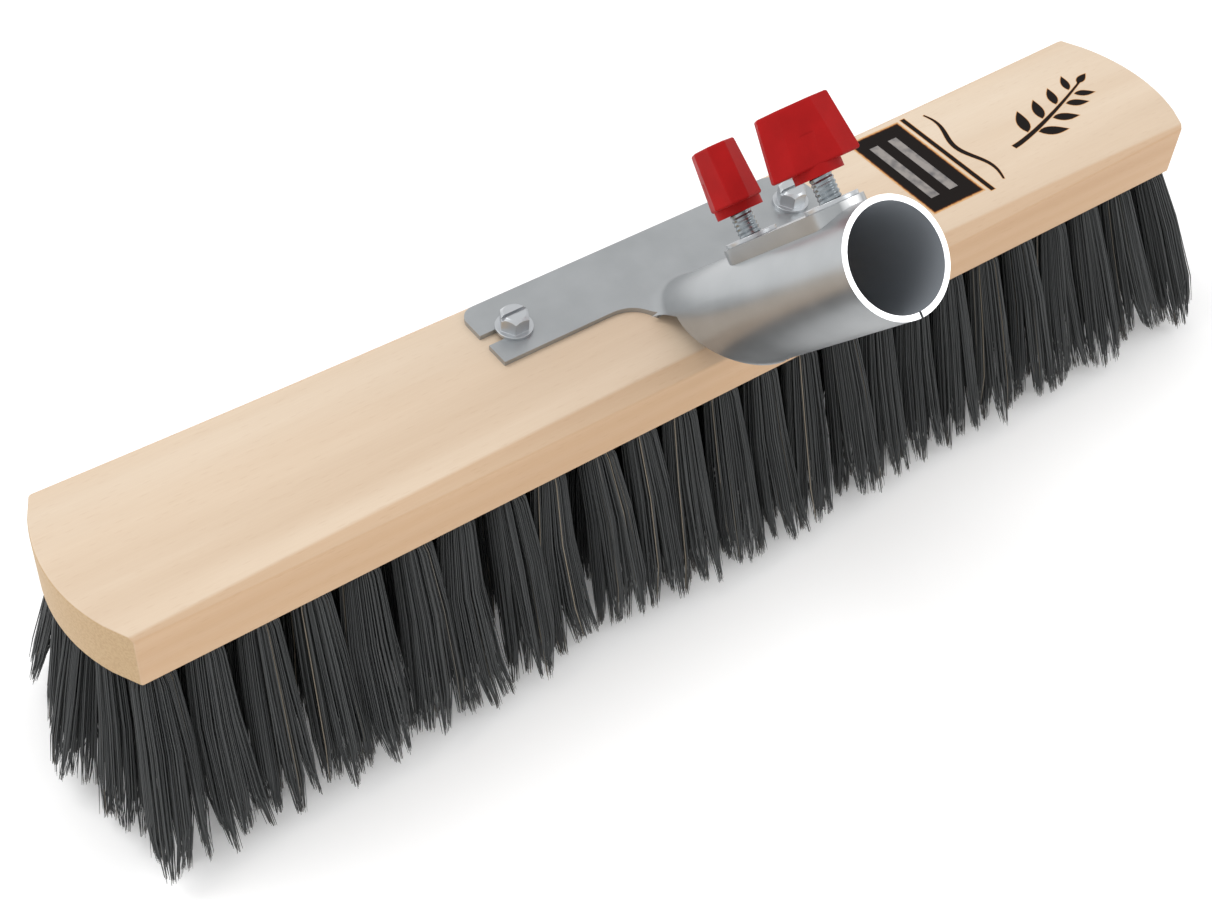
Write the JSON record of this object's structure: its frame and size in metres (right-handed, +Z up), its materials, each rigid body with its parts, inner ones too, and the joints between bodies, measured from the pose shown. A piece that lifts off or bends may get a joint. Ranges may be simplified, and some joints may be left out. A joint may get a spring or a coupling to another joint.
{
  "type": "push broom",
  "caption": "Push broom head: a wooden block drilled for fanned rows of dark bristle tufts, with a sheet-metal handle socket that wing screws clamp.",
  "frame": {"origin": "tip of the middle tuft, on the flat sweeping face that stands on the floor, under the middle of the block", "axes": "+X along the block, -Y towards the side that the handle leaves from, +Z up from the floor to the block"},
  "size_m": [0.4296, 0.1417, 0.1751],
  "materials": {
    "beech": "sanded, light oil",
    "galvanised_sheet": "galvanised, smooth",
    "zinc_plated_steel": "bright zinc plated",
    "anchor_wire": "drawn wire",
    "bristle_plastic": "extruded filament",
    "red_knob_plastic": "moulded, semi-gloss"
  },
  "bodies": {
    "broom_head": {"wooden_block": "beech", "handle_holder": "galvanised_sheet", "holder_screws": "zinc_plated_steel", "thread_strip": "galvanised_sheet", "anchors_front_row": "anchor_wire", "anchors_second_row": "anchor_wire", "anchors_middle_row": "anchor_wire", "anchors_fourth_row": "anchor_wire", "anchors_back_row": "anchor_wire", "bristles_front_row": "bristle_plastic", "bristles_second_row": "bristle_plastic", "bristles_middle_row": "bristle_plastic", "bristles_fourth_row": "bristle_plastic", "bristles_back_row": "bristle_plastic", "lower_thread_collar": "zinc_plated_steel", "upper_thread_collar": "zinc_plated_steel"},
    "lower_screw": {"lower_clamp_screw": "zinc_plated_steel"},
    "lower_knob": {"lower_wing_knob": "red_knob_plastic"},
    "upper_screw": {"upper_clamp_screw": "zinc_plated_steel"},
    "upper_knob": {"upper_wing_knob": "red_knob_plastic"}
  },
  "joints": [
    {"name": "lower_screw_feed", "type": "slide", "parent": "broom_head", "child": "lower_screw", "axis": [0, -0.7547, -0.6561], "range_m": [-0.00254, 0.00635]},
    {"name": "lower_knob_spin", "type": "hinge", "parent": "lower_screw", "child": "lower_knob", "pos_m": [0, -0.01915, 0.12849], "axis": [0, -0.7547, -0.6561], "range_deg": [-722, 1802]},
    {"name": "upper_screw_feed", "type": "slide", "parent": "broom_head", "child": "upper_screw", "axis": [0, -0.7547, -0.6561], "range_m": [-0.00254, 0.00635]},
    {"name": "upper_knob_spin", "type": "hinge", "parent": "upper_screw", "child": "upper_knob", "pos_m": [0, -0.04552, 0.15883], "axis": [0, -0.7547, -0.6561], "range_deg": [-722, 1802]}
  ],
  "couplings": [
    {"joint": "lower_knob_spin", "follows": "lower_screw_feed", "rad_per_m": 4947.4},
    {"joint": "upper_knob_spin", "follows": "upper_screw_feed", "rad_per_m": 4947.4}
  ]
}
